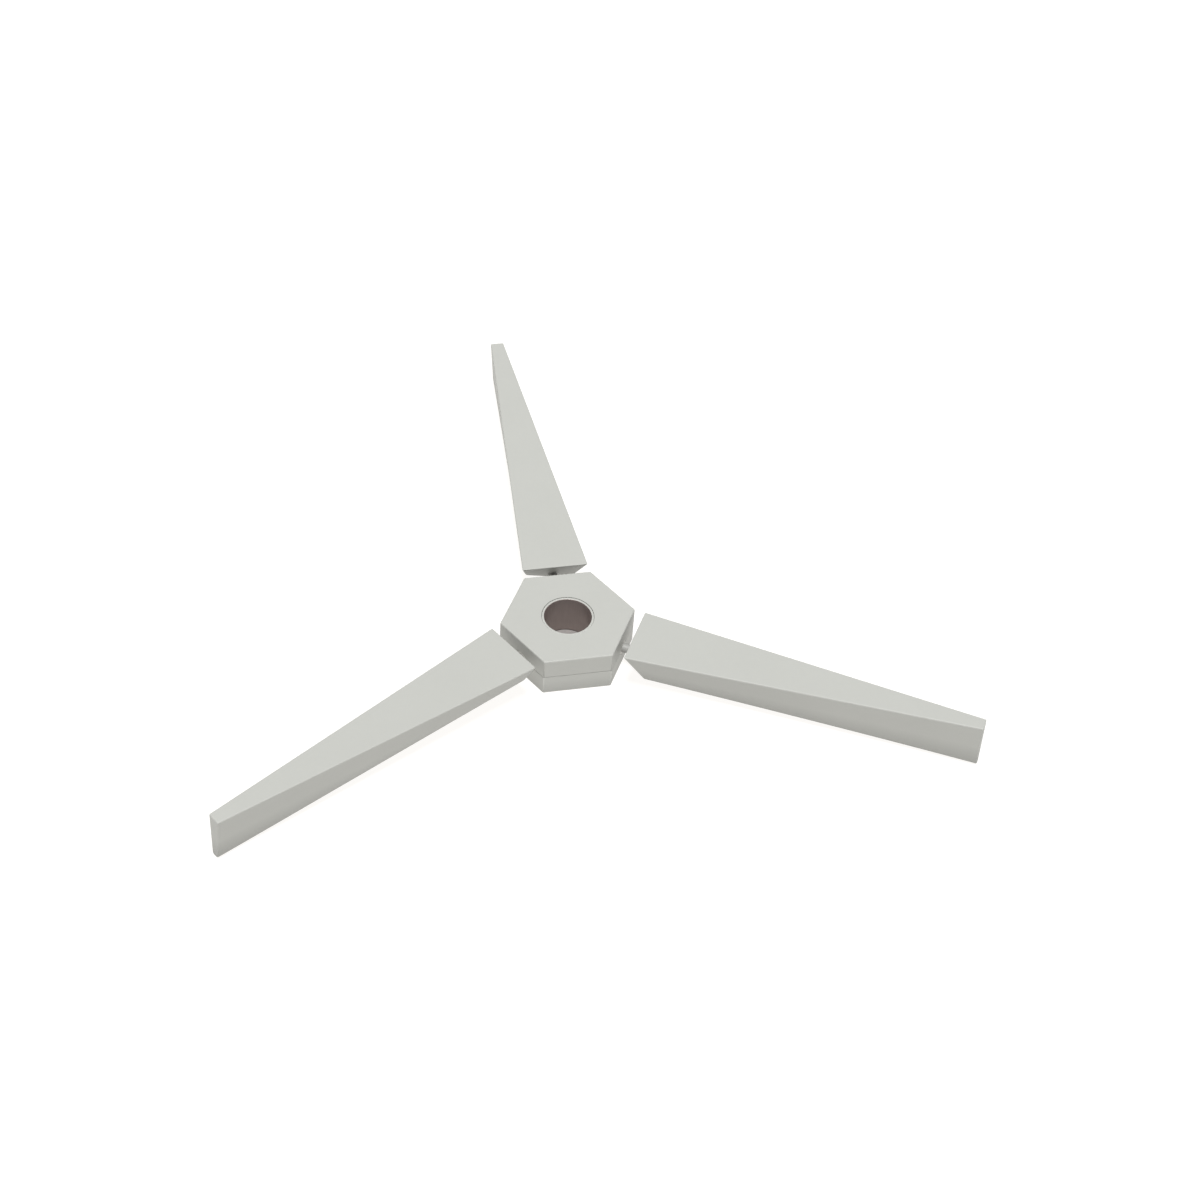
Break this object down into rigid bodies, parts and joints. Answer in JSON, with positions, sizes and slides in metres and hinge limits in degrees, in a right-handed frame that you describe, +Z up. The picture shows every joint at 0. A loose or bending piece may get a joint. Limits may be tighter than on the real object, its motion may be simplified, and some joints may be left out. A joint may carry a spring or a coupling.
{
  "type": "turbine rotor",
  "caption": "Flat turbine rotor with tapered, twisted blades round a split hexagonal hub, turning on a ball bearing about a hollow upright axle sleeve. Each blade pitches on its own spindle.",
  "frame": {"origin": "on the bore's axis, in the plane where the two hub halves meet and in which the blade spindles lie", "axes": "+Z up along the bore, the axis of rotation; +Y along blade 1"},
  "size_m": [0.3125, 0.2727, 0.023],
  "materials": {
    "hub_plastic": "pale warm grey moulded plastic, faint mould grain",
    "blade_plastic": "pale warm grey moulded plastic, faint mould grain",
    "sleeve_steel": "turned steel tube, dull bronze-grey inside",
    "bearing_steel": "ground bearing steel",
    "shield_steel": "pressed sheet steel",
    "fastener_steel": "plain zinc-plated steel",
    "spindle_steel": "dull plated steel rod",
    "insert_brass": "turned brass",
    "cage_nylon": "natural nylon",
    "bush_nylon": "natural nylon",
    "ring_rubber": "black rubber"
  },
  "bodies": {
    "axle": {"axle_sleeve": "sleeve_steel"},
    "ball_row": {"bearing_balls": "bearing_steel", "ball_cage": "cage_nylon"},
    "hub": {"upper_hub_half": "hub_plastic", "lower_hub_half": "hub_plastic", "bearing_outer_ring": "bearing_steel", "upper_shield": "shield_steel", "lower_shield": "shield_steel", "hub_screws": "fastener_steel", "threaded_inserts": "insert_brass", "locating_pins": "fastener_steel", "thrust_washers": "fastener_steel", "friction_rings": "ring_rubber", "spindle_bushes": "bush_nylon"},
    "blade_1": {"blade_1": "blade_plastic", "blade_spindle_1": "spindle_steel", "roll_pin_1": "fastener_steel"},
    "blade_2": {"blade_2": "blade_plastic", "blade_spindle_2": "spindle_steel", "roll_pin_2": "fastener_steel"},
    "blade_3": {"blade_3": "blade_plastic", "blade_spindle_3": "spindle_steel", "roll_pin_3": "fastener_steel"}
  },
  "joints": [
    {"name": "rotor_spin", "type": "hinge", "parent": "axle", "child": "hub", "pos_m": [0, 0, 0], "axis": [0, 0, 1], "continuous": true},
    {"name": "ball_row_spin", "type": "hinge", "parent": "axle", "child": "ball_row", "pos_m": [0, 0, 0], "axis": [0, 0, 1], "continuous": true},
    {"name": "blade_1_pitch", "type": "hinge", "parent": "hub", "child": "blade_1", "pos_m": [0, 0.025, 0], "axis": [0, 1, 0], "range_deg": [-70, 70]},
    {"name": "blade_2_pitch", "type": "hinge", "parent": "hub", "child": "blade_2", "pos_m": [-0.02165, -0.0125, 0], "axis": [-0.866, -0.5, 0], "range_deg": [-70, 70]},
    {"name": "blade_3_pitch", "type": "hinge", "parent": "hub", "child": "blade_3", "pos_m": [0.02165, -0.0125, 0], "axis": [0.866, -0.5, 0], "range_deg": [-70, 70]}
  ],
  "couplings": [
    {"joint": "ball_row_spin", "follows": "rotor_spin", "ratio": 0.56295}
  ]
}
